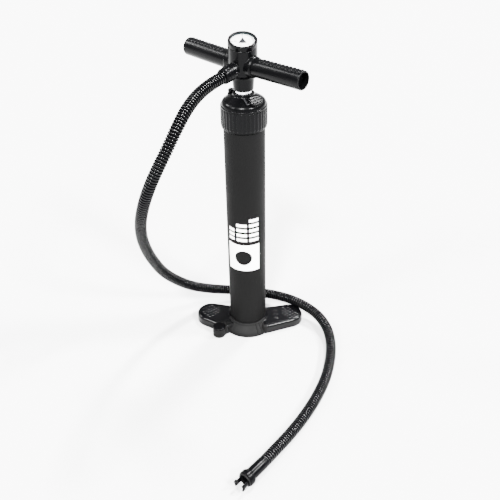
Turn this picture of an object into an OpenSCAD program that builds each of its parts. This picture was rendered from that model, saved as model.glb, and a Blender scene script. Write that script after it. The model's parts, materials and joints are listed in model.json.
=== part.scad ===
// Double action hand pump, standing upright on its foot plate.
// Origin on the barrel axis at floor level, feet along X, front to -Y, +Z up.
// Millimetres. The handle rests on its lower stop.

/* [Base] */
// distance from the axis to the centre of the right foot end, sideways
right_foot_x = 88; // [80:1:96]
// the same centre, front to back
right_foot_y = 11; // [0:1:16]
// radius of the rounded right foot end
right_foot_r = 28; // [24:0.5:32]
// sideways place of the centre of the left foot end
left_foot_x = -81; // [-90:1:-76]
// the same centre, front to back
left_foot_y = 2; // [-4:1:8]
// radius of the rounded left foot end
left_foot_r = 29; // [24:0.5:32]
// height of the foot plate
foot_h = 21; // [16:0.5:26]
// radius of the flared collar on the floor
collar_r = 57; // [54:0.5:60]
// height of the collar around the barrel
collar_h = 24.5; // [24:0.5:34]
// sideways place of the air inlet boss
boss_x = -57; // [-60:1:-54]
// front to back place of the air inlet boss
boss_y = -49; // [-52:1:-46]
// radius of the air inlet boss
boss_r = 13.5; // [12.8:0.1:14]
// height of the air inlet boss
boss_h = 19.5; // [18:0.5:24]

/* [Barrel] */
// outer radius of the barrel
barrel_r = 38; // [36:0.5:42]
// inner radius of the barrel
bore_r = 35.5; // [33:0.1:36]
// top end of the barrel
barrel_top = 488; // [460:1:500]

/* [Cap] */
// outer radius of the cap skirt
cap_r = 41.2; // [40.4:0.1:44]
// lower edge of the cap skirt
cap_bottom = 459; // [440:1:465]
// height where the skirt turns into the dome
cap_edge = 501; // [498:1:503]
// top of the neck around the rod
neck_top = 522.5; // [521.5:0.5:524]
// radius of the neck around the rod
neck_r = 19.5; // [19.3:0.1:20.2]
// number of ribs around the skirt
cap_ribs = 36; // [24:1:48]
// direction of the mode plug around the axis
plug_turn = -44; // [-60:1:-30]
// lean of the mode plug away from the axis
plug_lean = 28; // [24:1:32]

/* [Rod and piston] */
// outer radius of the rod
rod_r = 14.5; // [12:0.1:15]
// inner radius of the rod
rod_in = 12.5; // [10:0.1:13]
// radius of the piston body
piston_r = 35.1; // [32:0.1:35.2]
// underside of the piston at rest
piston_z = 26.3; // [26.2:0.1:28]

/* [Handle] */
// height of the handle axis at rest
handle_z = 572.4; // [570:0.1:576]
// turn of the handle about the rod
handle_turn = -37.3; // [-42:0.1:-32]
// rise of each grip towards its end
grip_rise = 1.4; // [0:0.1:3]
// distance from the axis to a grip end
grip_reach = 131.5; // [115:0.5:140]
// radius of a grip
grip_r = 16; // [13:0.1:16.5]
// radius of the hub
hub_r = 25; // [24.6:0.1:26]
// lower end of the hub neck
hub_bottom = 528; // [525:0.5:532]

/* [Gauge] */
// height of the gauge seat on the axis
gauge_z = 607.8; // [606:0.2:610]
// lean of the gauge face towards the front
gauge_lean = 16; // [10:1:18]
// turn of the direction the gauge leans to, from the front
gauge_turn = 10; // [-20:1:30]
// outer radius of the gauge bezel
bezel_r = 25.2; // [25:0.1:26]

/* [Hose] */
// outer radius of the hose
hose_r = 10; // [8:0.5:12]
// heading of the hose port around the axis
port_turn = -125; // [-128:1:-122]
// fall of the hose port below level
port_fall = 8; // [4:1:12]
// distance from the axis to the mouth of the hose cuff
cuff_end = 54; // [53:1:58]
// heading of the hose connector on the floor
conn_turn = -126; // [-140:1:-110]

/* [Hidden] */
$fn = 64;
eps = 0.01;
socket_r = barrel_r + 0.05;
plug_ring = 30.5;
plug_seat = 513.6;
strap_anchor = [2, -22.9, 519];
strap_fold = [9.9, -32.3, 512.3];
strap_rise = [13.2, -30.3, 513.35];
conn_at = [62, -380, 14.6];

// centre line of the hose: from the cuff on the handle port, out and down to
// the left, behind the barrel, over the back corner of the right foot on to
// the floor and forward
hose_route = [
  [-30.7, -43.8, 564.9], [-50.5, -71.6, 560.2], [-66, -101.7, 554],
  [-78.8, -131.4, 542.5], [-91, -156.5, 522.6], [-104.6, -174.6, 496.7],
  [-119.9, -186, 468], [-134.8, -189.3, 437.3], [-147.6, -185.3, 405.6],
  [-158, -175.4, 374.4], [-166, -161.5, 344], [-171.6, -144.9, 314.3],
  [-174.8, -127.2, 285], [-176, -108.7, 256], [-175.6, -89.7, 227],
  [-173.3, -70.7, 198.5], [-169.3, -51.9, 170], [-162, -32.9, 142.2],
  [-150.7, -13.8, 116], [-135.8, 5, 91.3], [-117.2, 23.7, 69],
  [-94.5, 42, 50.8], [-67.8, 58.3, 36.4], [-36.5, 69, 27.5],
  [-2.5, 71.6, 24.1], [31.3, 65.2, 25.1], [63.4, 53.4, 28.6],
  [94, 37.9, 31], [123.6, 20.6, 29], [149.9, 0.6, 22.3],
  [168.3, -27.5, 15], [176, -60.5, 11.4], [177.3, -95, 10.2],
  [174.3, -129, 10], [168.4, -163, 10], [159, -196, 10],
  [147, -228.6, 10], [133, -260, 10.1], [117.2, -290.6, 10.6],
  [100, -320.4, 11.6], [81.7, -349.6, 13.2], [62, -380, 14.6]
];

// ---- shared shapes ----

// flat disc with a rounded upper rim
module rounded_disc(r, h, edge) {
  rotate_extrude() {
    square([r - edge, h]);
    square([r, h - edge]);
    intersection() {
      translate([r - edge, h - edge]) circle(edge, $fn = 32);
      square([r, h]);
    }
  }
}

// tube with flat ends
module ring(r_out, r_in, z0, z1) {
  translate([0, 0, z0]) difference() {
    cylinder(r = r_out, h = z1 - z0);
    translate([0, 0, -1]) cylinder(r = r_in, h = z1 - z0 + 2);
  }
}

// seal ring of round section lying level
module o_ring(r, section_r) {
  rotate_extrude() translate([r, 0]) circle(section_r, $fn = 24);
}

// frame of the handle: X along the grips
module handle_frame() {
  translate([0, 0, handle_z]) rotate([0, 0, handle_turn]) children();
}

// frame of the hose port: +Z out along the port
module port_frame() {
  translate([0, 0, handle_z])
    rotate([0, 0, port_turn + 90]) rotate([90 + port_fall, 0, 0]) children();
}

// frame of a grip: +Z out along it, side = 1 right, -1 left
module grip_frame(side) {
  handle_frame() rotate([0, side * (90 - grip_rise), 0]) children();
}

// frame of the gauge: +Z out of the dial
module gauge_frame() {
  translate([0, 0, gauge_z])
    rotate([0, 0, gauge_turn]) rotate([gauge_lean, 0, 0]) children();
}

// frame of the mode plug: +Z out of the cap, origin on its seat
module plug_frame() {
  rotate([0, 0, plug_turn]) translate([plug_ring, 0, plug_seat])
    rotate([0, plug_lean, 0]) children();
}

// frame of the connector: +Z out of its mouth, origin where the hose ends
module conn_frame() {
  translate(conn_at) rotate([0, 0, conn_turn]) rotate([0, 90, 0]) children();
}

// ---- base ----

// direction square to the straight edge that joins round corners a and b,
// each given as [x, y, radius] and taken anticlockwise
function edge_turn(a, b) =
  let (way = [b[0] - a[0], b[1] - a[1]])
  atan2(way[1], way[0]) - acos((a[2] - b[2]) / norm(way));

// outline around the corners, drawn in by an inset
function outline(corners, inset, steps) =
  let (n = len(corners))
  [for (i = [0:n - 1])
    let (
      c = corners[i],
      from = edge_turn(corners[(i + n - 1) % n], c),
      sweep = (edge_turn(c, corners[(i + 1) % n]) - from + 720) % 360
    )
    for (k = [0:steps])
      let (a = from + sweep * k / steps)
      [c[0] + (c[2] - inset) * cos(a), c[1] + (c[2] - inset) * sin(a)]];

// plate with the outline around the corners and a rounded upper rim
module plate(corners, h, edge) {
  levels = concat([[0, 0]], [for (t = [0:18:90])
    [h - edge + edge * sin(t), edge - edge * cos(t)]]);
  rings = [for (level = levels) outline(corners, level[1], 12)];
  n = len(rings[0]);
  last = len(levels) - 1;
  polyhedron(
    [for (i = [0:last], p = rings[i]) [p[0], p[1], levels[i][0]]],
    concat(
      [[for (k = [0:n - 1]) k]],
      [for (i = [0:last - 1], k = [0:n - 1])
        let (m = (k + 1) % n)
        [i * n + k, (i + 1) * n + k, (i + 1) * n + m, i * n + m]],
      [[for (k = [n - 1:-1:0]) last * n + k]]
    ),
    convexity = 4
  );
}

// the two foot wings
module wings() {
  plate([
    [right_foot_x, right_foot_y, right_foot_r], [38, 17.5, 8], [40, -33, 8]
  ], foot_h, 6);
  plate([
    [-38, -30, 8], [-40, 17.5, 8], [left_foot_x, left_foot_y, left_foot_r],
    [-62, -30, 8]
  ], foot_h, 6);
}

// hollows in the underside of the wings, left open to the floor
module wing_hollows() {
  translate([0, 0, -1]) linear_extrude(17) {
    difference() {
      union() {
        translate([right_foot_x, right_foot_y]) circle(right_foot_r - 4);
        polygon([[55, 26.5], [81.4, 33.9], [97.9, -10.7], [53, -31.4]]);
      }
      translate([69, -30]) square([2, 70]);
      translate([89, -30]) square([2, 70]);
      translate([50, right_foot_y - 6]) square([70, 2]);
    }
    difference() {
      union() {
        translate([left_foot_x, left_foot_y]) circle(left_foot_r - 4);
        polygon([
          [-56, 23.8], [-77.6, 26.6], [-91.3, -20.6], [-66, -32], [-58, -28]
        ]);
      }
      translate([-71, -40]) square([2, 80]);
      translate([-91, -40]) square([2, 80]);
      translate([-110, left_foot_y - 1]) square([60, 2]);
    }
  }
}

// raised dots that stop the shoe from slipping, around the end of a wing
module treads(x, y, side) {
  for (k = [0:6], j = [-3:2]) {
    dot = [side * (k * 5.3 - 15), j * 9.4 + (k % 2) * 4.7 + 4];
    if (norm(dot) < 20.5)
      translate([x + dot[0], y + dot[1], foot_h - eps])
        cylinder(r = 1.7, h = 0.8, $fn = 16);
  }
}

// collar flaring from the barrel down to the floor
module collar_shape() {
  rotate_extrude() polygon([
    [0, 0], [collar_r - 1, 0], [collar_r, 1.5], [56.4, 3.5], [54, 8],
    [51.2, 11.5], [48, 15], [45.2, 18], [43, 20.5], [41.6, 23],
    [40.6, collar_h], [0, collar_h]
  ]);
}

module base_foot() {
  duct_turn = atan2(-boss_y, -boss_x);
  color([0.06, 0.06, 0.065]) difference() {
    union() {
      wings();
      treads(right_foot_x, right_foot_y, 1);
      treads(left_foot_x, left_foot_y, -1);
      for (bar = [[50, 13], [52.5, 1], [55, -11]])
        translate([bar[0], bar[1] - 1, foot_h - eps]) cube([9, 2, 0.8]);
      collar_shape();
      // upright ribs on the front of the collar
      for (a = [-62, -52, -42]) rotate([0, 0, a]) rotate([90, 0, 0])
        translate([0, 0, -0.8]) linear_extrude(1.6) polygon([
          [40, 0], [56.6, 0], [56, 8], [50.4, 15], [45.4, 20.5], [42.6, 24],
          [40, 24]
        ]);
      translate([boss_x, boss_y, 0]) cylinder(r = boss_r, h = boss_h);
      translate([boss_x, boss_y, 0]) rotate([0, 0, duct_turn])
        translate([8, -10, 0]) cube([26, 20, 20]);
      for (k = [0:3])
        translate([boss_x, boss_y, 0]) rotate([0, 0, duct_turn])
          translate([14.5 + k * 4, -8.5, 20 - eps]) cube([1.8, 17, 1.8]);
    }
    // socket of the barrel around an inner spigot
    difference() {
      translate([0, 0, 14]) cylinder(r = socket_r, h = 40);
      translate([0, 0, 13]) cylinder(r = bore_r - 0.2, h = 9);
    }
    // groove of the bottom seal
    ring(bore_r + 0.5, bore_r - 2.8, 16.4, 19.6);
    // air chamber under the floor with its cover rebate
    difference() {
      translate([0, 0, -1]) cylinder(r = 34, h = 8);
      for (a = [45:90:315])
        rotate([0, 0, a]) translate([27, 0, 4]) cylinder(r = 4, h = 4);
    }
    // inlet bore and the seat of its disc
    translate([0, 0, 5]) cylinder(r = 7, h = 20);
    translate([0, 0, 18]) cylinder(r = 14, h = 6);
    // boss bore and the channel to the chamber
    translate([boss_x, boss_y, 3]) cylinder(r = 9.6, h = 30);
    translate([boss_x, boss_y, 3]) rotate([0, 0, duct_turn])
      translate([0, -6, 0]) cube([48, 12, 5]);
    // screw holes of the cover
    for (a = [45:90:315])
      rotate([0, 0, a]) translate([27, 0, 3]) cylinder(r = 1.25, h = 9, $fn = 24);
    wing_hollows();
  }
}

module base_cover() {
  color([0.10, 0.10, 0.105]) difference() {
    cylinder(r = 33.9, h = 3.9);
    for (a = [45:90:315]) rotate([0, 0, a]) {
      translate([27, 0, -1]) cylinder(r = 1.7, h = 6, $fn = 24);
      translate([27, 0, -1]) cylinder(r = 3.2, h = 3, $fn = 24);
    }
  }
}

module base_screws() {
  color([0.75, 0.75, 0.77]) for (a = [45:90:315])
    rotate([0, 0, a]) translate([27, 0, 0]) difference() {
      union() {
        translate([0, 0, 0.5]) cylinder(r = 2.9, h = 1.4, $fn = 24);
        translate([0, 0, 1.8]) cylinder(r = 1.2, h = 9, $fn = 24);
      }
      translate([-2, -0.35, 0]) cube([4, 0.7, 1.2]);
      translate([-0.35, -2, 0]) cube([0.7, 4, 1.2]);
    }
}

// smooth domed cap of the inlet, drawing air in through slots under its rim
module inlet_cap() {
  color([0.05, 0.05, 0.055]) translate([boss_x, boss_y, 0]) difference() {
    union() {
      translate([0, 0, 14]) cylinder(r = 9.55, h = boss_h - 13.9);
      translate([0, 0, boss_h + 0.05]) rounded_disc(13.3, 4.2, 3);
    }
    translate([0, 0, 13]) cylinder(r = 7.6, h = boss_h - 11);
    for (a = [0:60:300]) rotate([0, 0, a])
      translate([6, -1.6, boss_h]) cube([10, 3.2, 1.4]);
  }
}

module inlet_filter() {
  color([0.30, 0.30, 0.30]) translate([boss_x, boss_y, 9])
    cylinder(r = 9.4, h = 5);
}

module inlet_disc() {
  color([0.12, 0.12, 0.12]) ring(10, 1.2, 18.05, 19.65);
}

module inlet_cage() {
  color([0.55, 0.55, 0.57]) {
    ring(13.95, 10.7, 18, 22);
    for (a = [0, 90]) rotate([0, 0, a])
      translate([-13.5, -1.5, 21.9]) cube([27, 3, 1.2]);
  }
}

module bottom_seal() {
  color([0.08, 0.08, 0.08]) translate([0, 0, 18]) o_ring(bore_r - 1.35, 1.3);
}

module bottom_bumper() {
  color([0.10, 0.10, 0.10]) ring(30, 20, 22, 26);
}

// ---- barrel ----

module barrel_tube() {
  color([0.11, 0.11, 0.115]) ring(barrel_r, bore_r, 14, barrel_top);
}

// white patch around the front of the barrel with a round window in it
module barrel_label() {
  color([0.92, 0.92, 0.90]) difference() {
    rotate([0, 0, -145]) translate([0, 0, 162]) rotate_extrude(angle = 100)
      translate([barrel_r, 0]) square([0.3, 61]);
    rotate([0, 0, -5]) translate([0, 0, 192.5]) rotate([90, 0, 0])
      cylinder(r = 17, h = 60);
  }
}

// three columns of plain dashes above the patch
module mark_column(from, span, count, pitch) {
  for (k = [0:count - 1])
    rotate([0, 0, from]) translate([0, 0, 232 + k * pitch])
      rotate_extrude(angle = span) translate([barrel_r, 0]) square([0.3, 6]);
}

module barrel_marks() {
  color([0.92, 0.92, 0.90]) {
    mark_column(-142, 20, 3, 10);
    mark_column(-114, 31, 4, 11);
    mark_column(-76, 29, 5, 11);
  }
}

// ---- cap ----

// skirt, rounded shoulder, sloping top and the neck around the rod
module cap_outline() {
  shoulder = 10;
  steps = 6;
  rotate_extrude() polygon(concat(
    [[0, cap_bottom], [cap_r - 1.4, cap_bottom], [cap_r, cap_bottom + 2]],
    [for (i = [0:steps]) let (a = 60 * i / steps)
      [cap_r - shoulder + shoulder * cos(a), cap_edge + shoulder * sin(a)]],
    [[21.8, 518], [neck_r + 0.6, 519], [neck_r, 520], [neck_r, neck_top - 0.8],
     [neck_r - 0.8, neck_top], [0, neck_top]]
  ));
}

module top_cap() {
  color([0.07, 0.07, 0.075]) difference() {
    union() {
      cap_outline();
      for (i = [0:cap_ribs - 1]) rotate([0, 0, i * 360 / cap_ribs])
        translate([cap_r - 0.4, -1.1, cap_bottom + 4]) cube([1.1, 2.2, 36]);
      plug_frame() translate([0, 0, -9]) cylinder(r = 10, h = 9);
      // button for parking the strap
      rotate([0, 0, 148]) translate([27.2, 0, 508]) {
        cylinder(r1 = 9, r2 = 5.6, h = 10);
        translate([0, 0, 9.4]) rounded_disc(6.2, 5.8, 2.6);
      }
    }
    // barrel seat with the inner spigot left standing
    difference() {
      translate([0, 0, cap_bottom - 1])
        cylinder(r = socket_r, h = barrel_top - cap_bottom + 1.1);
      translate([0, 0, 478]) cylinder(r = bore_r - 0.2, h = 20);
    }
    ring(bore_r + 0.5, bore_r - 2.8, 481.4, 484.6);
    // rod passage, bush pocket from below, wiper pocket from above
    translate([0, 0, 470]) cylinder(r = rod_r + 0.7, h = 60);
    translate([0, 0, 470]) cylinder(r = 18, h = 34);
    translate([0, 0, 514]) cylinder(r = 17.2, h = 10);
    // plug bore and its passage down to the upper chamber
    plug_frame() translate([0, 0, -12]) cylinder(r = 6.1, h = 20);
    rotate([0, 0, plug_turn]) translate([26.5, 0, 470])
      cylinder(r = 3, h = 35, $fn = 32);
    // inlet holes on the far side, covered below by the flap
    for (a = [4:24:124]) rotate([0, 0, a]) translate([29.5, 0, 470])
      cylinder(r = 2, h = 60, $fn = 24);
  }
}

module cap_seal() {
  color([0.08, 0.08, 0.08]) translate([0, 0, 483]) o_ring(bore_r - 1.35, 1.3);
}

module rod_bush() {
  color([0.80, 0.79, 0.74]) ring(17.95, rod_r + 0.06, 484, 497.8);
}

module rod_seal() {
  color([0.09, 0.09, 0.09]) ring(17.9, rod_r + 0.04, 498, 503.8);
}

module rod_wiper() {
  color([0.09, 0.09, 0.09]) rotate_extrude() polygon([
    [17.1, 514.1], [17.1, 520], [15.6, 521.6], [rod_r + 0.05, 521.6],
    [rod_r + 0.05, 519.6], [15.4, 518.4], [15.4, 514.1]
  ]);
}

module cap_flap() {
  color([0.16, 0.16, 0.16]) ring(33.5, 24.5, 477.1, 477.9);
}

module top_bumper() {
  color([0.10, 0.10, 0.10]) ring(24.4, 20.6, 469, 477.9);
}

// plug with a long round-ended head and three ridges along it
module mode_plug() {
  color([0.05, 0.05, 0.055]) plug_frame() {
    difference() {
      union() {
        for (side = [-1, 1])
          translate([0, side * 5, 1.4]) rounded_disc(9, 2.6, 1);
        translate([-8.9, -5, 1.4]) cube([17.8, 10, 1.7]);
        translate([-8, -5, 3]) cube([16, 10, 1]);
        translate([0, 0, -10]) cylinder(r = 5.7, h = 11.5);
        for (k = [-1:1])
          translate([k * 5 - 0.9, abs(k) * 2.2 - 12, 3.9])
            cube([1.8, 24 - abs(k) * 4.4, 1.7]);
      }
      ring(6.4, 4.4, -8, -5);
    }
  }
}

module plug_seal() {
  color([0.35, 0.08, 0.06]) plug_frame()
    translate([0, 0, -6.5]) o_ring(4.95, 1.05);
}

// straight piece of the strap between two points
module band(from, to) {
  hull() {
    translate(from) cylinder(r = 1.4, h = 0.9, $fn = 24);
    translate(to) cylinder(r = 1.4, h = 0.9, $fn = 24);
  }
}

// loose strap: a loop under the plug head and a folded band that ends in a
// round tab against the neck of the cap
module plug_tether() {
  color([0.09, 0.09, 0.095]) {
    plug_frame() ring(8.6, 6.3, 0.1, 1.3);
    plug_frame() band([0, -7.5, 0.15], [0, -12.6, 0.15]);
    band(strap_rise, strap_fold);
    band(strap_fold, strap_anchor);
    translate(strap_anchor) cylinder(r = 2.3, h = 1.3, $fn = 32);
  }
}

// ---- rod and piston ----

module piston_rod() {
  color([0.80, 0.81, 0.83]) difference() {
    ring(rod_r, rod_in, 44, 548);
    for (a = [0:90:270]) rotate([0, 0, a]) translate([0, 0, 71])
      rotate([0, 90, 0]) cylinder(r = 2.5, h = 30, $fn = 24);
  }
}

module piston_body() {
  color([0.15, 0.15, 0.16]) difference() {
    union() {
      translate([0, 0, piston_z]) cylinder(r = piston_r, h = 58 - piston_z);
      translate([0, 0, 57]) cylinder(r = 20, h = 9);
    }
    ring(40, 32.2, 36, 41);
    ring(40, 33.6, 46, 50);
    translate([0, 0, 20]) cylinder(r = 7, h = 30);
    translate([0, 0, 34]) cylinder(r = 10.5, h = 20);
    translate([0, 0, 44]) cylinder(r = rod_r + 0.05, h = 30);
    translate([0, 0, piston_z - 1]) cylinder(r = 16, h = 4);
  }
}

module piston_ring() {
  color([0.09, 0.09, 0.09]) rotate_extrude() polygon([
    [32.25, 36.1], [bore_r - 0.05, 36.1], [bore_r - 0.05, 37.6],
    [34.6, 38.5], [bore_r - 0.05, 39.4], [bore_r - 0.05, 40.9], [32.25, 40.9]
  ]);
}

module piston_wear_ring() {
  color([0.78, 0.76, 0.70]) ring(bore_r - 0.06, 33.65, 46.1, 49.9);
}

module piston_disc() {
  color([0.12, 0.12, 0.12]) translate([0, 0, 34.05])
    cylinder(r = 9.6, h = 1.6);
}

module disc_stop() {
  color([0.60, 0.60, 0.62]) difference() {
    ring(10.45, 2, 38.2, 43.8);
    for (a = [0:60:300]) rotate([0, 0, a]) translate([6, 0, 36])
      cylinder(r = 2, h = 10, $fn = 24);
  }
}

module rod_flap() {
  color([0.14, 0.14, 0.14]) ring(rod_in - 0.1, rod_in - 1, 64, 78);
}

module rod_gasket() {
  color([0.10, 0.10, 0.10]) ring(14.4, 9, 548.1, 549.9);
}

// ---- handle ----

module hub_body() {
  rotate_extrude() polygon([
    [0, hub_bottom], [17.2, hub_bottom], [18, hub_bottom + 1],
    [19.5, 549], [20.6, 553], [hub_r - 0.8, 557.6], [hub_r, 559.5],
    [hub_r, 620], [0, 620]
  ]);
}

module handle_hub() {
  color([0.06, 0.06, 0.065]) difference() {
    union() {
      difference() {
        hub_body();
        gauge_frame() translate([-60, -60, 0]) cube([120, 120, 60]);
      }
      gauge_frame() translate([0, 0, -8]) cylinder(r = bezel_r, h = 8);
      for (side = [-1, 1]) grip_frame(side) difference() {
        cylinder(r = grip_r + 2.4, h = 31);
        translate([0, 0, 28.6]) ring(25, grip_r + 1.5, 0, 4);
      }
      port_frame() cylinder(r = 12.2, h = 27);
    }
    // rod socket and air passages
    translate([0, 0, hub_bottom - 1]) cylinder(r = rod_r + 0.05, h = 551 - hub_bottom);
    translate([0, 0, 540]) cylinder(r = 8, h = 34);
    translate([0, 0, 570]) cylinder(r = 2, h = 30, $fn = 24);
    port_frame() cylinder(r = 4.6, h = 30);
    port_frame() translate([0, 0, 12]) cylinder(r = 8.05, h = 20);
    // pocket of the gauge
    gauge_frame() translate([0, 0, -11.5]) cylinder(r = 22.3, h = 20);
    // sockets of the grips
    for (side = [-1, 1]) grip_frame(side)
      translate([0, 0, 15]) cylinder(r = grip_r + 0.05, h = 30);
  }
}

// one hollow grip with raised dashes along the upper side
module grip(side) {
  grip_frame(side) difference() {
    union() {
      translate([0, 0, 15]) cylinder(r = grip_r, h = grip_reach - 16);
      translate([0, 0, grip_reach - 1.1])
        cylinder(r1 = grip_r, r2 = grip_r - 1, h = 1.1);
      for (row = [-1:1], k = [0:10])
        rotate([0, 0, 180 * (side + 1) / 2 + row * 22])
          translate([grip_r - 0.4, -1, 40 + k * 8 + abs(row) * 3])
            cube([1.1, 2, 4.4]);
    }
    translate([0, 0, 10]) cylinder(r = grip_r - 2.6, h = grip_reach);
  }
}

module grip_right() {
  color([0.06, 0.06, 0.065]) grip(1);
}

module grip_left() {
  color([0.06, 0.06, 0.065]) grip(-1);
}

module grip_plugs() {
  color([0.04, 0.04, 0.045]) for (side = [-1, 1])
    grip_frame(side) translate([0, 0, grip_reach - 14])
      cylinder(r = grip_r - 2.65, h = 3);
}

// ---- gauge ----

module gauge_case() {
  color([0.50, 0.50, 0.52]) gauge_frame() difference() {
    translate([0, 0, -11]) cylinder(r = 22.2, h = 15.2);
    translate([0, 0, -9.8]) cylinder(r = 21.2, h = 20);
  }
}

module gauge_dial() {
  color([0.95, 0.95, 0.93]) gauge_frame() difference() {
    translate([0, 0, 3.3]) cylinder(r = 21.15, h = 0.8);
    cylinder(r = 1.1, h = 8, $fn = 24);
  }
}

// pointer on its arbor, resting at the low end of the scale
module gauge_needle() {
  color([0.75, 0.08, 0.06]) gauge_frame() {
    translate([0, 0, -2]) cylinder(r = 0.7, h = 7.4, $fn = 24);
    translate([0, 0, 4.6]) cylinder(r = 3.2, h = 1.2, $fn = 32);
    rotate([0, 0, 86]) translate([0, 0, 4.8]) linear_extrude(0.7)
      polygon([[-6, -3.6], [15.5, -0.4], [15.5, 0.4], [-6, 3.6]]);
  }
}

module gauge_movement() {
  color([0.78, 0.62, 0.28]) gauge_frame() {
    difference() {
      ring(15, 12.6, -7.6, -4.6);
      translate([0, -30, -9]) cube([30, 30, 6]);
    }
    translate([-13.8, 0, -9.75]) cylinder(r = 2, h = 3.5, $fn = 24);
    ring(3, 1.1, -7.9, 3);
    translate([-15, -1.4, -9.75]) cube([19, 2.8, 2]);
  }
}

module gauge_lens() {
  color([0.85, 0.92, 0.93, 0.35]) gauge_frame()
    translate([0, 0, 6.75]) cylinder(r = 22.4, h = 0.9);
}

module gauge_bezel() {
  color([0.05, 0.05, 0.055]) gauge_frame() difference() {
    union() {
      translate([0, 0, 0.05]) cylinder(r = bezel_r, h = 7);
      translate([0, 0, 7.05]) cylinder(r1 = bezel_r, r2 = bezel_r - 1.4, h = 1.4);
    }
    translate([0, 0, -1]) cylinder(r = 22.5, h = 8.7);
    cylinder(r = 20.4, h = 20);
  }
}

module gauge_seal() {
  color([0.10, 0.10, 0.10]) gauge_frame() ring(22.4, 20.5, 4.25, 6.7);
}

// ---- hose end on the handle ----

module hose_nut() {
  color([0.08, 0.08, 0.085]) port_frame() difference() {
    union() {
      translate([0, 0, 27.1]) cylinder(r = 13, h = 7.4);
      for (a = [0:30:330]) rotate([0, 0, a])
        translate([12.6, -1.2, 28]) cube([1, 2.4, 5.6]);
    }
    translate([0, 0, 20]) cylinder(r = 8.2, h = 20);
  }
}

module hose_nipple() {
  color([0.12, 0.12, 0.125]) port_frame() {
    ring(7.95, 5, 14.2, 36);
    ring(7.4, 5, 35.9, cuff_end);
  }
}

module nipple_seal() {
  color([0.09, 0.09, 0.09]) port_frame() ring(7.9, 5, 12.1, 14.1);
}

module hose_cuff() {
  color([0.07, 0.07, 0.075]) port_frame() rotate_extrude() polygon([
    [8.1, 34.8], [13.8, 34.8], [14.1, 36], [14, 40], [13.4, cuff_end - 3],
    [12.6, cuff_end - 1], [11.5, cuff_end], [7.5, cuff_end], [7.5, 37],
    [8.1, 36.5]
  ]);
}

// ---- hose ----

// point on the smooth line through four neighbours
function smooth(a, b, c, d, t) =
  0.5 * (2 * b + (c - a) * t + (2 * a - 5 * b + 4 * c - d) * t * t
    + (3 * b - a - 3 * c + d) * t * t * t);
function route_at(i) =
  i < 0 ? 2 * hose_route[0] - hose_route[1]
  : i >= len(hose_route)
    ? 2 * hose_route[len(hose_route) - 1] - hose_route[len(hose_route) - 2]
    : hose_route[i];
function unit(v) = v / norm(v);

module hose_tube(r, sides) {
  last = len(hose_route) - 1;
  line = concat(
    [for (i = [0:last - 1], t = [0, 0.5])
      smooth(route_at(i - 1), route_at(i), route_at(i + 1), route_at(i + 2), t)],
    [hose_route[last]]
  );
  n = len(line);
  port = [
    cos(port_turn) * cos(port_fall), sin(port_turn) * cos(port_fall),
    -sin(port_fall)
  ];
  mouth = [cos(conn_turn), sin(conn_turn), 0];
  way = [for (i = [0:n - 1])
    i == 0 ? port : i == n - 1 ? mouth : unit(line[i + 1] - line[i - 1])];
  rim = [for (i = [0:n - 1], k = [0:sides - 1])
    let (
      flat = unit(cross([0, 0, 1], way[i])),
      up = cross(way[i], flat),
      a = 360 * k / sides
    )
    line[i] + r * (cos(a) * flat + sin(a) * up)];
  skin = concat(
    [[for (k = [0:sides - 1]) k]],
    [for (i = [0:n - 2], k = [0:sides - 1])
      let (m = (k + 1) % sides)
      [i * sides + k, (i + 1) * sides + k, (i + 1) * sides + m, i * sides + m]],
    [[for (k = [sides - 1:-1:0]) (n - 1) * sides + k]]
  );
  polyhedron(rim, skin, convexity = 12);
}

module hose() {
  color([0.07, 0.07, 0.075]) hose_tube(hose_r, 12);
}

module hose_sleeve() {
  color([0.06, 0.06, 0.065]) conn_frame() rotate_extrude() polygon([
    [7.2, 0], [10.3, 0], [10.8, 8], [10.8, 36], [10.4, 38], [7.2, 38]
  ]);
}

// flange with a grip rim and two bayonet prongs around the outlet
module connector_body() {
  color([0.05, 0.05, 0.055]) conn_frame() difference() {
    union() {
      translate([0, 0, 14]) cylinder(r = 7.1, h = 26);
      translate([0, 0, 38.1]) cylinder(r = 13.2, h = 3);
      translate([0, 0, 41]) cylinder(r = 14.5, h = 8);
      translate([0, 0, 48.9]) cylinder(r1 = 14.5, r2 = 13, h = 1.5);
      for (side = [0, 180]) rotate([0, 0, side + 50]) {
        rotate_extrude(angle = 80) translate([7.7, 50]) square([2.3, 17]);
        rotate_extrude(angle = 40) translate([9.5, 63]) square([2.2, 4]);
      }
    }
    translate([0, 0, 10]) cylinder(r = 5, h = 60);
    translate([0, 0, 42]) cylinder(r = 6.9, h = 40);
  }
}

module connector_seal() {
  color([0.10, 0.10, 0.10]) conn_frame() ring(12.7, 10.1, 50.5, 52);
}

base_foot();
base_cover();
base_screws();
inlet_cap();
inlet_filter();
inlet_disc();
inlet_cage();
bottom_seal();
bottom_bumper();
barrel_tube();
barrel_label();
barrel_marks();
top_cap();
cap_seal();
rod_bush();
rod_seal();
rod_wiper();
cap_flap();
top_bumper();
mode_plug();
plug_seal();
plug_tether();
piston_rod();
piston_body();
piston_ring();
piston_wear_ring();
piston_disc();
disc_stop();
rod_flap();
rod_gasket();
handle_hub();
grip_right();
grip_left();
grip_plugs();
gauge_case();
gauge_dial();
gauge_needle();
gauge_movement();
gauge_lens();
gauge_bezel();
gauge_seal();
hose_nut();
hose_nipple();
nipple_seal();
hose_cuff();
hose();
hose_sleeve();
connector_body();
connector_seal();
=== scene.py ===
"""Double action hand pump: camera, light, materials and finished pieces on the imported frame."""
import json
import math

import bmesh
import bpy
from mathutils import Matrix, Vector


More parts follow.
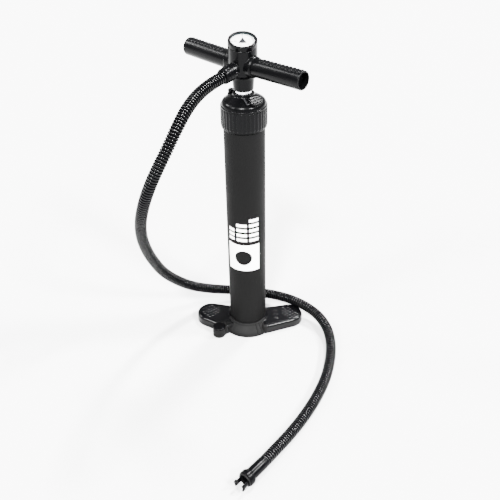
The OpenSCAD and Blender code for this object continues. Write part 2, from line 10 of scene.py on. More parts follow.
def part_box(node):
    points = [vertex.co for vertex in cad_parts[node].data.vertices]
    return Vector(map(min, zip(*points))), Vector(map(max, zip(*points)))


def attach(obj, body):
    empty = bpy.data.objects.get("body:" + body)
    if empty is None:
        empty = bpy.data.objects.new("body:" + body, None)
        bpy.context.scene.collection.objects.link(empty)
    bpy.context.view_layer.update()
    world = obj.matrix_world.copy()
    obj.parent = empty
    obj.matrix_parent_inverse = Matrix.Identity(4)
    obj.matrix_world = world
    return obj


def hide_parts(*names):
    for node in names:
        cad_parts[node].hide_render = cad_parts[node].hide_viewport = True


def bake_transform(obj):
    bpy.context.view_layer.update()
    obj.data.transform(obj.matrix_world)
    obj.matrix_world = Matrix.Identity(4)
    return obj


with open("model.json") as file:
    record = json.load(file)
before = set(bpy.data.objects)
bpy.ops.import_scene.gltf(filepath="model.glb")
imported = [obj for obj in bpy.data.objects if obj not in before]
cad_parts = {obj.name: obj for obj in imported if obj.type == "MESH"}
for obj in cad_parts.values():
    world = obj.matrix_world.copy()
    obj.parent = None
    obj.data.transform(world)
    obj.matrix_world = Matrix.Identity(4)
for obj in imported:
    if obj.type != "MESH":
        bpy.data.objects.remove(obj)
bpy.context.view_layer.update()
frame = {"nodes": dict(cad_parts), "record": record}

MM = 0.001


def rad(degrees):
    return math.radians(degrees)


# ------------------------------------------------------------------ camera

CAMERA_AT = Vector((0.1165, -1.1422, 0.9886))
CAMERA_TURN = 5.5
CAMERA_FALL = 34.95
CAMERA_ROLL = -1.0


def make_camera():
    data = bpy.data.cameras.new("camera")
    data.lens = 49.9
    data.sensor_width = 36
    cam = bpy.data.objects.new("camera", data)
    bpy.context.scene.collection.objects.link(cam)
    turn = Matrix.Rotation(rad(CAMERA_TURN), 4, "Z")
    tilt = Matrix.Rotation(rad(90 - CAMERA_FALL), 4, "X")
    roll = Matrix.Rotation(rad(CAMERA_ROLL), 4, "Z")
    cam.matrix_world = Matrix.Translation(CAMERA_AT) @ turn @ tilt @ roll
    bpy.context.scene.camera = cam


make_camera()


# ------------------------------------------------------------------ frames

HANDLE_TURN = -37.3
HANDLE_Z = 572.4
GRIP_RISE = 1.4
PORT_TURN = -125
PORT_FALL = 8
GAUGE_Z = 607.8
GAUGE_TURN = 10
GAUGE_LEAN = 16
PLUG_TURN = -44
PLUG_LEAN = 28
HANDLE = Matrix.Translation((0, 0, HANDLE_Z * MM)) @ Matrix.Rotation(rad(HANDLE_TURN), 4, "Z")
PORT = (
    Matrix.Translation((0, 0, HANDLE_Z * MM))
    @ Matrix.Rotation(rad(PORT_TURN + 90), 4, "Z")
    @ Matrix.Rotation(rad(90 + PORT_FALL), 4, "X")
)
GAUGE = (
    Matrix.Translation((0, 0, GAUGE_Z * MM))
    @ Matrix.Rotation(rad(GAUGE_TURN), 4, "Z")
    @ Matrix.Rotation(rad(GAUGE_LEAN), 4, "X")
)
PLUG = (
    Matrix.Rotation(rad(PLUG_TURN), 4, "Z")
    @ Matrix.Translation((30.5 * MM, 0, 513.6 * MM))
    @ Matrix.Rotation(rad(PLUG_LEAN), 4, "Y")
)
CONNECTOR = (
    Matrix.Translation((62 * MM, -380 * MM, 14.6 * MM))
    @ Matrix.Rotation(rad(-126), 4, "Z")
    @ Matrix.Rotation(rad(90), 4, "Y")
)
GRIP = {
    "right": HANDLE @ Matrix.Rotation(rad(90 - GRIP_RISE), 4, "Y"),
    "left": HANDLE @ Matrix.Rotation(rad(GRIP_RISE - 90), 4, "Y"),
}


# ------------------------------------------------------------------ materials

def noise(nodes, links, coords, scale, detail=4.0, rough=0.55):
    texture = nodes.new("ShaderNodeTexNoise")
    texture.inputs["Scale"].default_value = scale
    texture.inputs["Detail"].default_value = detail
    texture.inputs["Roughness"].default_value = rough
    links.new(coords.outputs["Object"], texture.inputs["Vector"])
    return texture


def ramp(nodes, links, source, low, high, start=0.3, stop=0.7):
    out = nodes.new("ShaderNodeMapRange")
    out.inputs["From Min"].default_value = start
    out.inputs["From Max"].default_value = stop
    out.inputs["To Min"].default_value = low
    out.inputs["To Max"].default_value = high
    links.new(source, out.inputs["Value"])
    return out.outputs["Result"]


def material(
    name, colour, rough, spread=0.08, metal=0.0, grain=900.0, bump=0.05,
    shade=0.15, shine=0.5, brushed=False, patch=22.0,
):
    """Principled surface with fine grain bump, patchy roughness and slight colour wear."""
    made = bpy.data.materials.new(name)
    made.use_nodes = True
    nodes, links = made.node_tree.nodes, made.node_tree.links
    surface = nodes["Principled BSDF"]
    surface.inputs["Metallic"].default_value = metal
    surface.inputs["Specular IOR Level"].default_value = shine
    coords = nodes.new("ShaderNodeTexCoord")
    broad = noise(nodes, links, coords, patch, 5.0)
    fine = noise(nodes, links, coords, grain, 2.0)
    links.new(
        ramp(nodes, links, broad.outputs["Fac"], rough - spread, rough + spread),
        surface.inputs["Roughness"],
    )
    tint = nodes.new("ShaderNodeMix")
    tint.data_type = "RGBA"
    tint.inputs[6].default_value = (*[c * (1 - shade) for c in colour], 1)
    tint.inputs[7].default_value = (*[min(1, c * (1 + shade)) for c in colour], 1)
    links.new(broad.outputs["Fac"], tint.inputs[0])
    links.new(tint.outputs[2], surface.inputs["Base Color"])
    height = fine.outputs["Fac"]
    if brushed:
        stretch = nodes.new("ShaderNodeMapping")
        stretch.inputs["Scale"].default_value = (1, 1, 0.02)
        links.new(coords.outputs["Object"], stretch.inputs["Vector"])
        links.new(stretch.outputs["Vector"], fine.inputs["Vector"])
    relief = nodes.new("ShaderNodeBump")
    relief.inputs["Strength"].default_value = bump
    relief.inputs["Distance"].default_value = 0.0004
    links.new(height, relief.inputs["Height"])
    links.new(relief.outputs["Normal"], surface.inputs["Normal"])
    return made


BLACK = (0.0005, 0.0005, 0.0006)
SHINE = 0.035
M = {
    "base_plastic": material("base_plastic", BLACK, 0.17, 0.03, bump=0.04, shine=0.06),
    "cap_plastic": material("cap_plastic", BLACK, 0.27, 0.06, bump=0.1, shine=SHINE),
    "handle_plastic": material("handle_plastic", BLACK, 0.27, 0.06, bump=0.1, shine=SHINE),
    "grip_plastic": material("grip_plastic", BLACK, 0.28, 0.06, bump=0.14, shine=SHINE),
    "barrel_plastic": material(
        "barrel_plastic", (0.0016, 0.0016, 0.0016), 0.60, 0.06, bump=0.07, shine=0.02
    ),
    "fitting_plastic": material("fitting_plastic", BLACK, 0.22, 0.05, bump=0.05, shine=0.02),
    "hose_plastic": material("hose_plastic", BLACK, 0.17, 0.03, bump=0.01, shine=0.07),
    # rough black with no reflection for the hose grooves: painted shade in the grooves
    "groove_painted_shade": material("groove_painted_shade", BLACK, 0.8, 0.05, bump=0.02, shine=0.0),
    "collar_plastic": material(
        "collar_plastic", (0.0022, 0.0022, 0.0022), 0.55, 0.06, bump=0.07, shine=0.02
    ),
    "tether_rubber": material(
        "tether_rubber", (0.004, 0.004, 0.0045), 0.4, 0.1, bump=0.1, shine=0.1
    ),
    "seal_rubber": material("seal_rubber", (0.002, 0.002, 0.002), 0.6, 0.1, bump=0.1, shine=0.03),
    "seal_red": material("seal_red", (0.25, 0.03, 0.02), 0.45, 0.1, bump=0.1),
    "filter_foam": material("filter_foam", (0.05, 0.05, 0.05), 0.9, 0.05, grain=500, bump=0.8),
    "cage_plastic": material("cage_plastic", (0.1, 0.1, 0.11), 0.5, bump=0.1),
    "piston_plastic": material("piston_plastic", (0.03, 0.03, 0.032), 0.45, bump=0.1),
    "bush_plastic": material("bush_plastic", (0.4, 0.38, 0.34), 0.5, bump=0.08),
    "label_white": material("label_white", (0.86, 0.86, 0.84), 0.42, shade=0.04, bump=0.05),
    "dial_white": material("dial_white", (0.88, 0.88, 0.86), 0.5, shade=0.03, bump=0.03),
    "dial_print": material("dial_print", (0.004, 0.004, 0.004), 0.5, bump=0.03),
    "dial_red": material("dial_red", (0.25, 0.01, 0.01), 0.5, bump=0.03),
    "needle_red": material("needle_red", (0.004, 0.001, 0.0016), 0.35, bump=0.03, shine=0.05),
    "screw_steel": material("screw_steel", (0.6, 0.6, 0.62), 0.35, metal=1, bump=0.06),
    "gauge_steel": material("gauge_steel", (0.5, 0.5, 0.52), 0.35, metal=1, bump=0.06),
    "rod_steel": material(
        "rod_steel", (0.82, 0.83, 0.85), 0.2, 0.06, metal=1, bump=0.12, brushed=True
    ),
    "movement_brass": material("movement_brass", (0.7, 0.5, 0.2), 0.35, metal=1),
}


def make_glass():
    made = material("lens_clear", (0.006, 0.011, 0.012), 0.06, 0.03, bump=0.01, shade=0.01)
    surface = made.node_tree.nodes["Principled BSDF"]
    surface.inputs["Alpha"].default_value = 0.2
    return made


M["lens_clear"] = make_glass()


# ------------------------------------------------------------------ making pieces

def finish_piece(name, mesh, body, slot, stands_for=(), smooth=True):
    mesh.validate()
    if smooth:
        mesh.polygons.foreach_set("use_smooth", [True] * len(mesh.polygons))
    piece = bpy.data.objects.new(name, mesh)
    bpy.context.scene.collection.objects.link(piece)
    mesh.materials.clear()
    mesh.materials.append(M[slot])
    if body:
        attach(piece, body)
    if stands_for:
        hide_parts(*stands_for)
    return piece


def mesh_of(name, points, faces, place=Matrix.Identity(4)):
    mesh = bpy.data.meshes.new(name)
    mesh.from_pydata([place @ Vector(p) for p in points], [], faces)
    return mesh


def sharpen(mesh, angle=38):
    """Marks hard edges, so that smooth shading keeps real corners crisp."""
    work = bmesh.new()
    work.from_mesh(mesh)
    bmesh.ops.recalc_face_normals(work, faces=work.faces)
    for edge in work.edges:
        if len(edge.link_faces) == 2 and edge.calc_face_angle(0) > rad(angle):
            edge.smooth = False
    work.to_mesh(mesh)
    work.free()
    return mesh


def surface_grid(rows, closed_rows=False):
    """Faces of a grid of points whose rows are rings."""
    points = [p for row in rows for p in row]
    wide = len(rows[0])
    faces = []
    count = len(rows)
    for i in range(count if closed_rows else count - 1):
        for k in range(wide):
            a, b = i * wide + k, i * wide + (k + 1) % wide
            j = (i + 1) % count
            faces.append((a, b, j * wide + (k + 1) % wide, j * wide + k))
    return points, faces


def rounded(profile, radius, steps=4):
    """The same outline with each corner rounded, given as (r, z) in mm."""
    out = []
    count = len(profile)
    for i, (x, z) in enumerate(profile):
        a, b = Vector(profile[i - 1]), Vector(profile[(i + 1) % count])
        p = Vector((x, z))
        before, after = a - p, b - p
        reach = min(radius, before.length * 0.45, after.length * 0.45)
        if reach < 1e-4:
            out.append((x, z))
            continue
        start = p + before.normalized() * reach
        stop = p + after.normalized() * reach
        for s in range(steps + 1):
            t = s / steps
            q = start * (1 - t) ** 2 + p * 2 * t * (1 - t) + stop * t * t
            out.append((q.x, q.y))
    return out


def lathe(name, profile, body, slot, place=Matrix.Identity(4), stands_for=(),
          radius=0.4, segments=96, swell=None):
    """Closed outline of (r, z) in mm turned about +Z of place.
    swell(angle, r, z) gives an extra radius in mm."""
    outline = rounded(profile, radius) if radius else list(profile)
    rows = []
    for r, z in outline:
        row = []
        for k in range(segments):
            a = 2 * math.pi * k / segments
            q = r + (swell(a, r, z) if swell else 0)
            row.append((q * math.cos(a) * MM, q * math.sin(a) * MM, z * MM))
        rows.append(row)
    points, faces = surface_grid(rows, closed_rows=True)
    mesh = sharpen(mesh_of(name, points, faces, place))
    return finish_piece(name, mesh, body, slot, stands_for)


def moulded(name, node, body, slot, voxel, turns=4, factor=0.5):
    """The CAD node's shape with softly rounded edges, as moulded plastic has them."""
    source = frame["nodes"][node]
    work = bpy.data.objects.new("work", source.data.copy())
    bpy.context.scene.collection.objects.link(work)
    remesh = work.modifiers.new("even", "REMESH")
    remesh.mode = "VOXEL"
    remesh.voxel_size = voxel * MM * 1
    relax = work.modifiers.new("relax", "SMOOTH")
    relax.factor = factor
    relax.iterations = turns
    graph = bpy.context.evaluated_depsgraph_get()
    mesh = bpy.data.meshes.new_from_object(work.evaluated_get(graph))
    bpy.data.objects.remove(work)
    mesh.name = name
    return finish_piece(name, mesh, body, slot, (node,))


def joined(parts):
    """One list of points and one of faces out of several."""
    points, faces = [], []
    for part_points, part_faces in parts:
        start = len(points)
        points += part_points
        faces += [tuple(start + i for i in face) for face in part_faces]
    return points, faces


def dome(at, r, h, place, rings=4, segments=16, stretch=(1, 1)):
    """Low round bump standing on the plane z = at.z of place, in mm."""
    points, faces = [], []
    for i in range(rings + 1):
        a = math.pi / 2 * i / rings
        for k in range(segments):
            b = 2 * math.pi * k / segments
            q = r * math.cos(a) if i < rings else r * 0.02
            spot = Vector((
                at[0] + q * math.cos(b) * stretch[0],
                at[1] + q * math.sin(b) * stretch[1],
                at[2] + h * math.sin(a),
            ))
            points.append(place @ (spot * MM))
    for i in range(rings):
        for k in range(segments):
            m = (k + 1) % segments
            faces.append((
                i * segments + k, i * segments + m,
                (i + 1) * segments + m, (i + 1) * segments + k,
            ))
    faces.append(tuple(range(rings * segments, (rings + 1) * segments)))
    faces.append(tuple(reversed(range(segments))))
    return points, faces


def prism(outline, low, high):
    """Points in metres and faces of an upright block over an outline in mm."""
    points = [Vector((x, y, z)) * MM for z in (low, high) for x, y in outline]
    wide = len(outline)
    faces = []
    for k in range(wide):
        m = (k + 1) % wide
        faces.append((k, m, wide + m, wide + k))
    faces.append(tuple(reversed(range(wide))))
    faces.append(tuple(range(wide, 2 * wide)))
    return points, faces


# ------------------------------------------------------------------ hose

HOSE_R = 10.0
CREST_R = HOSE_R + 0.7
GROOVE_DEPTH = 2.5
RIB_PITCH = 5.0
# height of one rib from groove to groove, as shares of the groove's depth
RIB_WAVE = (0.0, 0.55, 0.85, 0.97, 1.0, 0.97, 0.85, 0.55)
HOSE_ROUTE = [
    (-30.7, -43.8, 564.9), (-50.5, -71.6, 560.2), (-66, -101.7, 554),
    (-78.8, -131.4, 542.5), (-91, -156.5, 522.6), (-104.6, -174.6, 496.7),
    (-119.9, -186, 468), (-134.8, -189.3, 437.3), (-147.6, -185.3, 405.6),
    (-158, -175.4, 374.4), (-166, -161.5, 344), (-171.6, -144.9, 314.3),
    (-174.8, -127.2, 285), (-176, -108.7, 256), (-175.6, -89.7, 227),
    (-173.3, -70.7, 198.5), (-169.3, -51.9, 170), (-162, -32.9, 142.2),
    (-150.7, -13.8, 116), (-135.8, 5, 91.3), (-117.2, 23.7, 69),
    (-94.5, 42, 50.8), (-67.8, 58.3, 36.4), (-36.5, 69, 27.5),
    (-2.5, 71.6, 24.1), (31.3, 65.2, 25.1), (63.4, 53.4, 28.6),
    (94, 37.9, 31), (123.6, 20.6, 29), (149.9, 0.6, 22.3),
    (168.3, -27.5, 15), (176, -60.5, 11.4), (177.3, -95, 10.2),
    (174.3, -129, 10), (168.4, -163, 10), (159, -196, 10),
    (147, -228.6, 10), (133, -260, 10.1), (117.2, -290.6, 10.6),
    (100, -320.4, 11.6), (81.7, -349.6, 13.2), (62, -380, 14.6),
]


def smooth_line(points, steps):
    """Catmull-Rom line through the points, in metres."""
    ends = [2 * points[0] - points[1]] + points + [2 * points[-1] - points[-2]]
    line = []
    for i in range(1, len(ends) - 2):
        a, b, c, d = ends[i - 1], ends[i], ends[i + 1], ends[i + 2]
        for s in range(steps):
            t = s / steps
            line.append(0.5 * (
                2 * b + (c - a) * t + (2 * a - 5 * b + 4 * c - d) * t * t
                + (3 * b - a - 3 * c + d) * t ** 3
            ))
    line.append(points[-1])
    return line


def resample(line, step):
    """Points at even distances along the line, and the line's length."""
    out, carried, length = [line[0]], 0.0, 0.0
    for a, b in zip(line, line[1:]):
        piece = (b - a).length
        length += piece
        while carried + piece >= step:
            t = (step - carried) / piece
            a = a.lerp(b, t)
            piece = (b - a).length
            carried = 0.0
            out.append(a)
        carried += piece
    return out, length


def sweep(line, radius_at, segments):
    """Rings of points round a line, carried along it without twist."""
    rows = []
    side = None
    for i, p in enumerate(line):
        way = (line[min(i + 1, len(line) - 1)] - line[max(i - 1, 0)]).normalized()
        if side is None:
            side = way.cross(Vector((0, 0, 1))).normalized()
        side = (side - way * side.dot(way)).normalized()
        other = way.cross(side)
        r = radius_at(i)
        rows.append([
            p + r * (math.cos(a) * side + math.sin(a) * other)
            for a in (2 * math.pi * k / segments for k in range(segments))
        ])
    return rows


def make_hose():
    """Corrugated hose: rounded glossy crests, with the narrow grooves between them given a rough
    black that reflects nothing, as painted shade in the grooves.
    """
    route = [Vector((x, y, max(z, CREST_R))) * MM for x, y, z in HOSE_ROUTE]
    per_rib = len(RIB_WAVE)
    line, length = resample(smooth_line(route, 40), RIB_PITCH * MM / per_rib)

    def radius_at(i):
        return (CREST_R - GROOVE_DEPTH + GROOVE_DEPTH * RIB_WAVE[i % per_rib]) * MM

    rows = sweep(line, radius_at, 28)
    wide = len(rows[0])
    points, faces = surface_grid(rows)
    faces.append(tuple(reversed(range(wide))))
    faces.append(tuple(range((len(rows) - 1) * wide, len(rows) * wide)))
    mesh = mesh_of("hose_corrugated", points, faces)
    hose = finish_piece("hose_corrugated", mesh, None, "hose_plastic", ("hose",))
    mesh.materials.append(M["groove_painted_shade"])
    # faces in the grooves take the non-reflecting black: painted shade in the grooves
    for face in mesh.polygons:
        if face.index // wide % per_rib in (per_rib - 2, per_rib - 1, 0, 1):
            face.material_index = 1
    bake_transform(hose)
    return hose, length, [tuple(p) for p in line[::per_rib]] + [tuple(line[-1])]


hose, hose_length, hose_path = make_hose()


# ------------------------------------------------------------------ base

FOOT_TOP = 21.0
RIGHT_FOOT = (88, 11)
LEFT_FOOT = (-81, 2)
BOSS = (-57, -49)
BOSS_REACH = 16
COLLAR_REACH = 59
COLLAR_FRONT = -18
DOT_ROW = 5.3
DOT_APART = 9.4
DOT_FIELD = 20.5
BARS = ((54.5, 13), (57, 1), (59.5, -11))


def foot_dots(centre, side):
    """Low round dots over the end of a foot, in staggered rows."""
    dots = []
    for k in range(7):
        for j in range(-3, 3):
            x = side * (k * DOT_ROW - 15)
            y = j * DOT_APART + (k % 2) * DOT_APART / 2 + 4
            if math.hypot(x, y) < DOT_FIELD:
                at = (centre[0] + x, centre[1] + y, FOOT_TOP - 0.15)
                dots.append(dome(at, 2.0, 0.7, Matrix.Identity(4)))
    return dots


def dull_collar(base):
    """Gives the front of the collar and the inlet boss their dull finish."""
    base.data.materials.append(M["collar_plastic"])
    for face in base.data.polygons:
        x, y, z = face.center / MM
        on_wing = face.normal.z > 0.95 and z < FOOT_TOP + 1.5
        on_collar = y < COLLAR_FRONT and math.hypot(x, y) < COLLAR_REACH and not on_wing
        if on_collar or math.hypot(x - BOSS[0], y - BOSS[1]) < BOSS_REACH:
            face.material_index = 1


def make_base():
    dull_collar(moulded("base_moulding", "base_foot", "barrel", "base_plastic", 0.65, 10))
    moulded("inlet_cap_moulding", "inlet_cap", "barrel", "fitting_plastic", 0.45, 3)
    points, faces = joined(foot_dots(RIGHT_FOOT, 1) + foot_dots(LEFT_FOOT, -1))
    treads = mesh_of("foot_treads", points, faces)
    finish_piece("foot_treads", treads, "barrel", "base_plastic")
    bars = []
    for x, y in BARS:
        at = (x, y, FOOT_TOP - 0.1)
        bars.append(dome(at, 1.0, 1.5, Matrix.Identity(4), 4, 20, (4.8, 1.5)))
    points, faces = joined(bars)
    finish_piece("foot_bars", mesh_of("foot_bars", points, faces), "barrel", "base_plastic")


make_base()


# ------------------------------------------------------------------ barrel and cap

def make_barrel():
    low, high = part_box("barrel_tube")
    bottom, top = low.z / MM, high.z / MM
    r = high.x / MM
    lathe(
        "barrel_shell",
        [(r, bottom), (r, top), (r - 2.5, top), (r - 2.5, bottom)],
        "barrel", "barrel_plastic", stands_for=("barrel_tube",), radius=0.5, segments=160,
    )


def smooth_step(t):
    t = max(0.0, min(1.0, t))
    return t * t * (3 - 2 * t)


CAP_R = 41.2
CAP_EDGE = 501
CAP_RIBS = 36
RIB_HEIGHT = 0.9
SKIRT_LOW = 462
SKIRT_TOP = 498
HOLES = 6
HOLE_RING = 29.5
HOLE_R = 2
POST_TURN = 148
POST_OUT = 27.2


def cap_swell(a, r, z):
    """Rounded upright ribs round the skirt."""
    if r < CAP_R - 0.5 or not SKIRT_LOW < z < SKIRT_TOP:
        return 0
    low_end = smooth_step((z - SKIRT_LOW - 0.5) / 2)
    top_end = smooth_step((SKIRT_TOP - 0.4 - z) / 1.6)
    wave = 0.5 + 0.5 * math.cos(CAP_RIBS * a)
    return RIB_HEIGHT * low_end * top_end * smooth_step((wave - 0.35) / 0.4)


def make_cap():
    outer = [(39.8, 459), (CAP_R, 460.6)]
    outer += [(CAP_R, SKIRT_LOW + i * 0.5) for i in range(73)]
    outer += [(CAP_R, 498.4), (41.8, 498.8)]
    outer += [
        (40.3 + 1.7 * math.cos(rad(a)), 499.8 + 1.7 * math.sin(rad(a)))
        for a in range(-10, 81, 10)
    ]
    outer += [
        (30.4 + 10 * math.cos(rad(a)), 501.5 + 10 * math.sin(rad(a))) for a in range(10, 61, 5)
    ]
    outer += [(30, 513.4), (24, 516.8), (21.6, 518), (20.3, 518.9), (19.6, 520)]
    outer += [(19.5, 521.4), (19.2, 522.2), (18.6, 522.5)]
    inner = [(17.3, 522.5), (17.3, 514.2), (15.3, 514.0), (15.3, 508)]
    inner += [(36, 489), (38.1, 488), (38.1, 459)]
    cap = lathe(
        "cap_moulding", outer + inner, "barrel", "cap_plastic",
        stands_for=("top_cap",), radius=0, segments=360, swell=cap_swell,
    )
    cut(cap, joined(hole_cutters()))
    lathe(
        "plug_seat", [(0, -6), (10, -6), (10, 0), (6.2, 0), (6.2, -4), (0, -4)],
        "barrel", "cap_plastic", PLUG, radius=0.5, segments=64,
    )
    post = (
        Matrix.Rotation(rad(POST_TURN), 4, "Z")
        @ Matrix.Translation((POST_OUT * MM, 0, 508 * MM))
    )
    lathe(
        "strap_post",
        [(0, 0), (9, 0), (7, 6), (5.7, 9.4), (6.2, 10.4), (6.2, 13), (4.4, 14.8), (0, 15.4)],
        "barrel", "cap_plastic", post, radius=1.2, segments=48,
    )


def hole_cutters():
    """Upright cutters for the air inlet holes in the far side of the cap."""
    parts = []
    sides = 24
    for i in range(HOLES):
        a = rad(4 + 24 * i)
        x, y = HOLE_RING * math.cos(a), HOLE_RING * math.sin(a)
        outline = []
        for k in range(sides):
            b = 2 * math.pi * k / sides
            outline.append((x + HOLE_R * math.cos(b), y + HOLE_R * math.sin(b)))
        parts.append(prism(outline, 503, 519))
    return parts


def cut(piece, shape):
    """Takes the closed shape out of the piece."""
    mesh = mesh_of("cutter", *shape)
    cutter = bpy.data.objects.new("cutter", mesh)
    bpy.context.scene.collection.objects.link(cutter)
    knife = piece.modifiers.new("holes", "BOOLEAN")
    knife.operation = "DIFFERENCE"
    knife.solver = "EXACT"
    knife.object = cutter
    graph = bpy.context.evaluated_depsgraph_get()
    made = bpy.data.meshes.new_from_object(piece.evaluated_get(graph))
    piece.modifiers.clear()
    old, piece.data = piece.data, made
    made.name = old.name + "_cut"
    bpy.data.objects.remove(cutter)


make_barrel()
make_cap()


# ------------------------------------------------------------------ rod and handle

def make_rod():
    low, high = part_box("piston_rod")
    r, bottom, top = high.x / MM, low.z / MM, high.z / MM
    lathe(
        "rod_tube", [(r, bottom), (r, top), (r - 2, top), (r - 2, bottom)],
        "handle", "rod_steel", stands_for=("piston_rod",), radius=0.4, segments=128,
    )


def bump(distance, half, edge):
    """1 inside half of the distance, falling to 0 over edge."""
    return 1 - smooth_step((abs(distance) - half) / edge)


GRIP_REACH = 131.5
GRIP_START = 15.0
GRIP_R = 16.0
DASH_PITCH = 8
DASHES = 11


def make_grip(side):
    """Hollow round grip with rows of raised dashes along its upper side."""
    place = GRIP[side]
    up = math.pi if side == "right" else 0.0
    reach, r, start = GRIP_REACH, GRIP_R, GRIP_START
    outer = [start + i * 0.7 for i in range(int((reach - 1.5 - start) / 0.7) + 1)]
    segments = 144

    def dashes(a, z):
        lift = 0.0
        turn = (a - up + math.pi) % (2 * math.pi) - math.pi
        for row in (-1, 0, 1):
            across = (turn - rad(22) * row) * r
            if abs(across) > 2.2:
                continue
            along = (z - 42.2 - abs(row) * 3) / DASH_PITCH
            k = round(along)
            if 0 <= k < DASHES:
                near = bump((along - k) * DASH_PITCH, 1.9, 0.8)
                lift = max(lift, 0.75 * near * bump(across, 0.7, 0.7))
        return lift

    rows = []

    def ring(radius, z, plain=True):
        row = []
        for k in range(segments):
            a = 2 * math.pi * k / segments
            q = radius + (0 if plain else dashes(a, z))
            row.append(place @ (Vector((q * math.cos(a), q * math.sin(a), z)) * MM))
        rows.append(row)

    for z in outer:
        ring(r, z, plain=False)
    for i in range(6):
        a = rad(90 * i / 5)
        ring(r - 1.3 + 1.3 * math.cos(a), reach - 1.3 + 1.3 * math.sin(a))
    for i in range(4):
        a = rad(90 * i / 3)
        ring(r - 2.0 - 0.6 * math.sin(a), reach - 0.6 + 0.6 * math.cos(a))
    for z in (reach - 3, reach - 8, reach - 14, start):
        ring(r - 2.6, z)
    points, faces = surface_grid(rows, closed_rows=True)
    mesh = mesh_of(f"grip_{side}_moulding", points, faces)
    finish_piece(mesh.name, mesh, "handle", "grip_plastic", (f"grip_{side}",))


def make_handle():
    moulded("hub_moulding", "handle_hub", "handle", "handle_plastic", 0.6, 5)
    make_grip("right")
    make_grip("left")


make_rod()
make_handle()


# ------------------------------------------------------------------ hose ends

def lobes(count, height, low, high, sharp=0.4):
    """Rounded grip ribs between two heights of a turned piece."""
    def swell(a, r, z):
        if r < 7 or not low < z < high:
            return 0
        fade = smooth_step((z - low) / 0.8) * smooth_step((high - z) / 0.8)
        wave = 0.5 + 0.5 * math.cos(count * a)
        return height * fade * smooth_step((wave - sharp) / 0.4)
    return swell


def stack(r, low, high, step):
    """Points up a straight wall, close enough together to carry ribs."""
    count = max(1, round((high - low) / step))
    return [(r, low + (high - low) * i / count) for i in range(count + 1)]


def make_hose_ends():
    lathe(
        "hose_nut_moulding",
        [(8.3, 27.1), (12.6, 27.1)] + stack(13.0, 27.8, 33.8, 0.5)
        + [(12.6, 34.5), (8.3, 34.5)],
        "handle", "fitting_plastic", PORT, ("hose_nut",), 0.15, 180,
        lobes(12, 0.7, 28, 33.6),
    )
    lathe(
        "hose_cuff_moulding",
        [(8.1, 34.8), (13.6, 34.8), (14.1, 36), (14.1, 38.6), (13.5, 39.2), (13.5, 40),
         (14, 40.6), (13.8, 45), (13.2, 45.6), (13.2, 46.4), (13.7, 47), (13.4, 51),
         (12.6, 53), (11.5, 54), (7.5, 54), (7.5, 37)],
        "handle", "fitting_plastic", PORT, ("hose_cuff",), 0.4,
    )
    lathe(
        "sleeve_moulding",
        [(7.2, 0), (10.3, 0), (10.5, 3), (10.3, 3.6), (10.3, 4.4), (10.7, 5), (10.8, 8),
         (10.5, 8.6), (10.5, 9.4), (10.8, 10), (10.8, 36), (10.4, 38), (7.2, 38)],
        "barrel", "fitting_plastic", CONNECTOR, ("hose_sleeve",), 0.3,
    )
    moulded(
        "connector_moulding", "connector_body", "barrel", "fitting_plastic", 0.45, 3
    )


make_hose_ends()


# ------------------------------------------------------------------ gauge

def print_on_dial(name, parts, slot):
    points, faces = joined(parts)
    mesh = mesh_of(name, points, faces, GAUGE)
    return finish_piece(name, mesh, "handle", slot)


def bar(radius, angle, length, width, z, thick=0.12):
    """Flat upright block on the dial, pointing at its middle, in metres."""
    points = []
    for level in (z, z + thick):
        for along, across in ((0, -1), (0, 1), (1, 1), (1, -1)):
            r = radius + along * length
            p = Vector((r, across * width / 2, level)) * MM
            points.append(Matrix.Rotation(rad(angle), 3, "Z") @ p)
    faces = [(3, 2, 1, 0), (4, 5, 6, 7)]
    faces += [(k, (k + 1) % 4, 4 + (k + 1) % 4, 4 + k) for k in range(4)]
    return points, faces


SCALE_START = 86
SCALE_SWEEP = 270
DIAL_TOP = 4.1


def make_dial():
    ticks = []
    for i in range(21):
        a = SCALE_START - SCALE_SWEEP * i / 20
        long = i % 5 == 0
        ticks.append(bar(
            15.6 if long else 17.0, a, 3.6 if long else 2.2, 1.0 if long else 0.5, DIAL_TOP
        ))
    print_on_dial("dial_ticks", ticks, "dial_print")
    arc = []
    for i in range(16, 20):
        for k in range(6):
            a = SCALE_START - SCALE_SWEEP * (i + k / 6) / 20
            arc.append(bar(19.4, a, 0.9, 0.85, DIAL_TOP))
    print_on_dial("dial_red_arc", arc, "dial_red")
    for i in range(5):
        a = SCALE_START - SCALE_SWEEP * i / 4
        letter = bpy.data.curves.new(f"dial_number_{i}", "FONT")
        letter.body = str(i * 5)
        letter.size = 4.6 * MM
        letter.align_x, letter.align_y = "CENTER", "CENTER"
        letter.extrude = 0.05 * MM
        made = bpy.data.objects.new(letter.name, letter)
        bpy.context.scene.collection.objects.link(made)
        graph = bpy.context.evaluated_depsgraph_get()
        mesh = bpy.data.meshes.new_from_object(made.evaluated_get(graph))
        bpy.data.objects.remove(made)
        at = Vector((12.2 * math.cos(rad(a)), 12.2 * math.sin(rad(a)), DIAL_TOP + 0.06)) * MM
        mesh.transform(GAUGE @ Matrix.Translation(at))
        mesh.name = f"dial_number_{i}"
        finish_piece(mesh.name, mesh, "handle", "dial_print", smooth=False)


def make_pointer():
    """Broad wedge that turns just above the dial."""
    wedge = rounded([(9, 0), (-4.5, 6.5), (-4.5, -6.5)], 1.2)
    turn = Matrix.Rotation(rad(SCALE_START), 4, "Z")
    mesh = mesh_of("needle_moulding", *prism(wedge, 4.7, 5.7), GAUGE @ turn)
    finish_piece(
        "needle_moulding", mesh, "needle", "needle_red", ("gauge_needle",), smooth=False
    )


def make_gauge():
    lathe(
        "bezel_moulding",
        [(25.2, 0.05), (25.2, 6.6), (24.8, 7.9), (23.6, 8.45), (21.4, 8.4), (20.4, 7.8),
         (20.5, 7.7), (22.5, 7.7), (22.5, 0.05)],
        "handle", "handle_plastic", GAUGE, ("gauge_bezel",), 0.25, 144,
    )
    make_dial()
    make_pointer()


make_gauge()


# ------------------------------------------------------------------ plug and strap

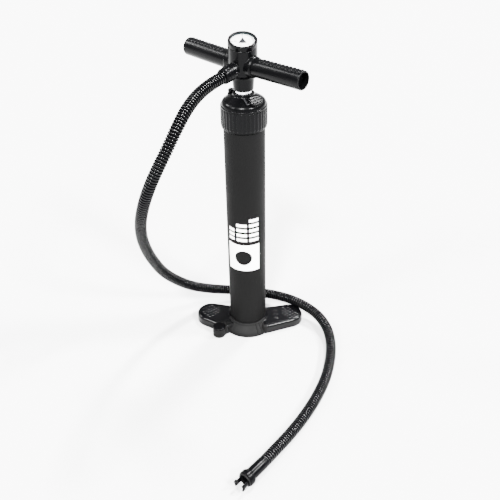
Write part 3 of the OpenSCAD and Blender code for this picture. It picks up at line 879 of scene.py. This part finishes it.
def make_plug():
    moulded("plug_moulding", "mode_plug", "plug", "cap_plastic", 0.3, 3)


STRAP_LINE = [
    (2, -21.6, 519.9), (3.6, -24.5, 518.4), (7, -29, 515.2), (9.2, -31.6, 513.2),
    (10.4, -31.9, 513.0), (12, -31.1, 513.8), (13.4, -30.2, 514.3), (16.4, -26.3, 514.4),
]


def make_strap():
    """Flat band from a tab against the neck, folded and led under the plug head."""
    lathe(
        "strap_loop", [(6.3, 0.1), (8.6, 0.1), (8.6, 1.3), (6.3, 1.3)],
        "plug", "tether_rubber", PLUG, ("plug_tether",), 0.4,
    )
    tab = Matrix.Translation((2 * MM, -22.9 * MM, 519 * MM))
    lathe(
        "strap_tab", [(0, 0), (2.5, 0), (2.5, 1.5), (0, 1.7)],
        "barrel", "tether_rubber", tab, ("plug_tether",), 0.5, 40,
    )
    line, _ = resample(smooth_line([Vector(p) * MM for p in STRAP_LINE], 12), 0.0005)
    rows = []
    half, thick = 1.7 * MM, 0.6 * MM
    for i, p in enumerate(line):
        way = (line[min(i + 1, len(line) - 1)] - line[max(i - 1, 0)]).normalized()
        side = way.cross(Vector((0, 0, 1))).normalized()
        up = side.cross(way).normalized()
        side, up = side * half, up * thick
        rows.append([p - side - up, p + side - up, p + side * 0.8 + up, p - side * 0.8 + up])
    points, faces = surface_grid(rows)
    faces += [(0, 1, 2, 3), tuple(len(points) - 4 + k for k in (3, 2, 1, 0))]
    band = mesh_of("strap_band", points, faces)
    piece = finish_piece("strap_band", band, None, "tether_rubber", ("plug_tether",))
    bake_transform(piece)


make_plug()
make_strap()


# ------------------------------------------------------------------ CAD pieces

def dress_cad():
    for part in frame["record"]["subparts"]:
        piece = frame["nodes"][part["node"]]
        piece.data.materials.clear()
        piece.data.materials.append(M[part["material_slot"]])
        if not piece.hide_render:
            piece.data.polygons.foreach_set("use_smooth", [False] * len(piece.data.polygons))


dress_cad()


# ------------------------------------------------------------------ floor and light

# name, direction round the pump from +X, height angle, strength, apparent size (degrees)
LIGHTS = (
    ("key_light", -97, 50, 28, 8),
    ("front_right_light", -40, 40, 20, 8),
    ("right_light", 10, 44, 20, 8),
    ("left_light", 165, 38, 6, 12),
    ("front_left_light", -146, 42, 10, 10),
    ("back_light", 60, 58, 22, 8),
)


def soft_sun(name, azimuth, elevation, strength, spread):
    data = bpy.data.lights.new(name, "SUN")
    data.energy = strength
    data.angle = rad(spread)
    lamp = bpy.data.objects.new(name, data)
    bpy.context.scene.collection.objects.link(lamp)
    flat = math.cos(rad(elevation))
    towards = Vector((
        flat * math.cos(rad(azimuth)), flat * math.sin(rad(azimuth)), math.sin(rad(elevation))
    ))
    lamp.matrix_world = (
        Matrix.Translation(towards * 2) @ towards.to_track_quat("Z", "Y").to_matrix().to_4x4()
    )


def make_studio():
    world = bpy.data.worlds.new("studio")
    world.use_nodes = True
    back = world.node_tree.nodes["Background"]
    back.inputs["Color"].default_value = (0.98, 0.985, 1.0, 1)
    back.inputs["Strength"].default_value = 1.2
    bpy.context.scene.world = world
    reach = 12.0
    mesh = mesh_of("floor", [(-reach, -reach, 0), (reach, -reach, 0), (reach, reach, 0),
                             (-reach, reach, 0)], [(0, 1, 2, 3)])
    floor = bpy.data.objects.new("floor", mesh)
    bpy.context.scene.collection.objects.link(floor)
    mesh.materials.append(material("floor_white", (0.37, 0.37, 0.37), 0.9, bump=0.0, shade=0.01))
    for light in LIGHTS:
        soft_sun(*light)


make_studio()
